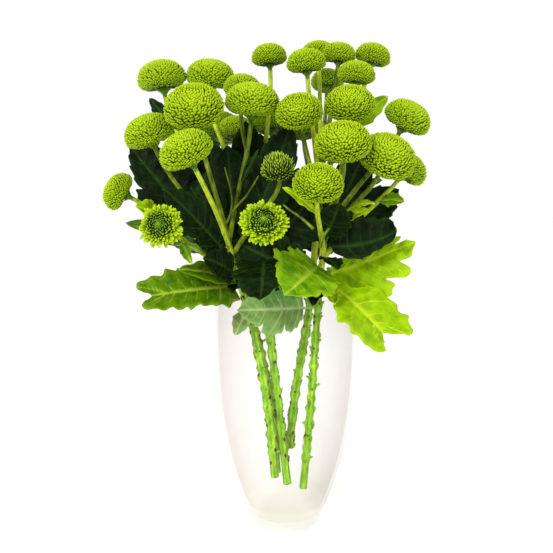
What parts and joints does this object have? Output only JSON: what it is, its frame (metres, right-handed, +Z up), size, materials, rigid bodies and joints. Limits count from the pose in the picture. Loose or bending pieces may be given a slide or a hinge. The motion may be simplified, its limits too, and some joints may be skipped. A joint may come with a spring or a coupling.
{
  "type": "chrysanthemums in a glass vase",
  "caption": "Cut sprays of green button chrysanthemums with lobed leaves, standing in water in a tall clear glass vase that narrows to its base.",
  "frame": {"origin": "centre of the vase's flat underside", "axes": "+Z up through the vase, +X to the right and -Y towards the viewer who sees the bouquet spread wide"},
  "size_m": [0.2671, 0.2, 0.4217],
  "materials": {
    "clear_glass": "clear, smooth",
    "water": "clear, still",
    "green_stem": "matt green, ribbed",
    "florets": "soft matt florets",
    "young_florets": "soft matt florets",
    "bright_leaf": "satin leaf",
    "green_leaf": "satin leaf",
    "dark_leaf": "satin leaf"
  },
  "bodies": {
    "root": {"vase": "clear_glass", "water": "water", "stem_a": "green_stem", "stem_b": "green_stem", "stem_c": "green_stem", "stem_d": "green_stem", "stem_e": "green_stem", "bloom_01": "florets", "bloom_02": "florets", "bloom_03": "florets", "bloom_04": "florets", "bloom_05": "florets", "bloom_06": "florets", "bloom_07": "florets", "bloom_08": "florets", "bloom_09": "florets", "bloom_10": "florets", "bloom_11": "florets", "bloom_12": "florets", "bloom_13": "florets", "bloom_14": "florets", "bloom_15": "florets", "bloom_16": "florets", "bloom_17": "florets", "bloom_18": "florets", "bloom_19": "florets", "bloom_20": "florets", "bloom_21": "florets", "bloom_22": "florets", "bloom_23": "florets", "bloom_24": "young_florets", "bloom_25": "florets", "bloom_26": "florets", "bloom_27": "florets", "bloom_28": "florets", "bloom_29": "florets", "bloom_30": "florets", "bloom_31": "florets", "leaf_01": "bright_leaf", "leaf_02": "dark_leaf", "leaf_03": "dark_leaf", "leaf_04": "dark_leaf", "leaf_05": "green_leaf", "leaf_06": "dark_leaf", "leaf_07": "green_leaf", "leaf_08": "dark_leaf", "leaf_09": "bright_leaf", "leaf_10": "bright_leaf", "leaf_11": "dark_leaf", "leaf_12": "dark_leaf", "leaf_13": "dark_leaf", "leaf_14": "dark_leaf", "leaf_15": "dark_leaf", "leaf_16": "dark_leaf", "leaf_17": "dark_leaf", "leaf_18": "dark_leaf", "leaf_19": "green_leaf", "leaf_20": "bright_leaf", "leaf_21": "dark_leaf", "leaf_22": "dark_leaf"}
  },
  "joints": []
}
